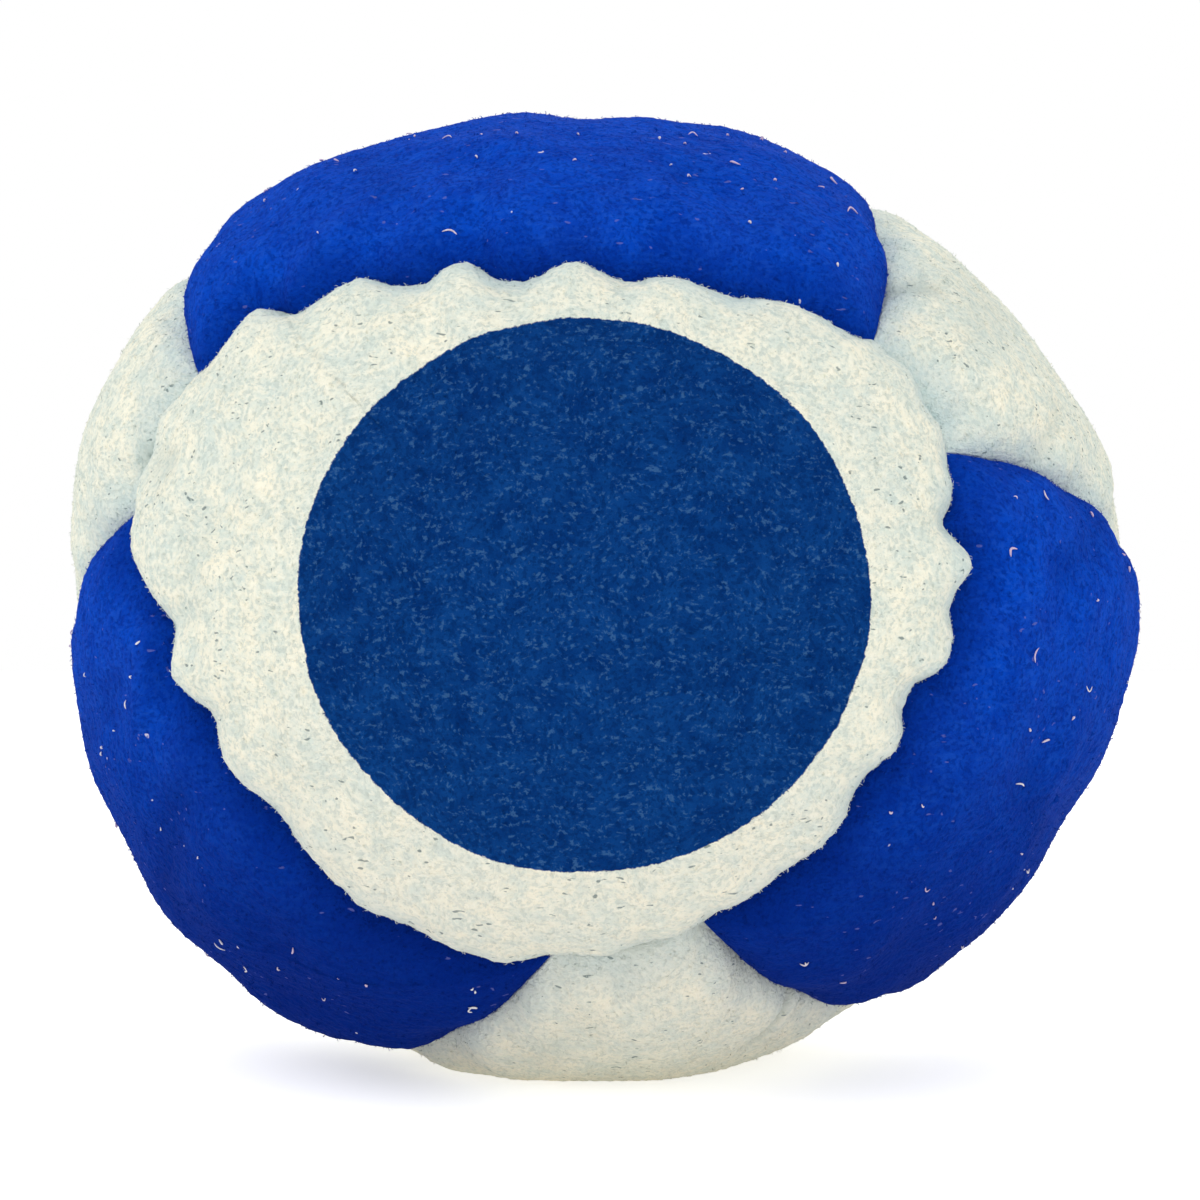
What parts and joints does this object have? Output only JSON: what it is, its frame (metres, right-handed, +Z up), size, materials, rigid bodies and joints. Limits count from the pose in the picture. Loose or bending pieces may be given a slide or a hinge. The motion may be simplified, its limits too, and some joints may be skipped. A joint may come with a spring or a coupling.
{
  "type": "footbag",
  "caption": "Small round kicking bag sewn from white and blue suede panels with gathered seams, filled with loose plastic pellets.",
  "frame": {"origin": "on the ground under the middle of the bag's length and width", "axes": "+Z up, -Y out of the middle of the printed front panel, +X to the right of someone who faces it"},
  "size_m": [0.0556, 0.0486, 0.0494],
  "materials": {
    "white_suede": "napped off-white suede with a faint cool tint, matte",
    "printed_white_suede": "napped off-white suede with one plain round navy print, matte",
    "blue_suede": "napped royal blue suede, matte",
    "seam_thread": "twisted polyester sewing thread, slight sheen",
    "pellets": "natural polyethylene pellets, waxy"
  },
  "bodies": {
    "root": {"front_panel": "printed_white_suede", "upper_left_panel": "white_suede", "upper_right_panel": "white_suede", "bottom_panel": "white_suede", "top_panel": "blue_suede", "left_panel": "blue_suede", "right_panel": "blue_suede", "back_panel": "blue_suede", "seam_thread_front_upper_left": "seam_thread", "seam_thread_front_upper_right": "seam_thread", "seam_thread_front_bottom": "seam_thread", "seam_thread_front_top": "seam_thread", "seam_thread_front_left": "seam_thread", "seam_thread_front_right": "seam_thread", "seam_thread_top_upper_left": "seam_thread", "seam_thread_top_upper_right": "seam_thread", "seam_thread_left_upper_left": "seam_thread", "seam_thread_left_bottom": "seam_thread", "seam_thread_right_upper_right": "seam_thread", "seam_thread_right_bottom": "seam_thread", "seam_thread_upper_left_upper_right": "seam_thread", "seam_thread_upper_left_bottom": "seam_thread", "seam_thread_upper_right_bottom": "seam_thread", "seam_thread_back_upper_left": "seam_thread", "seam_thread_back_upper_right": "seam_thread", "seam_thread_back_bottom": "seam_thread", "pellet_fill": "pellets"}
  },
  "joints": []
}
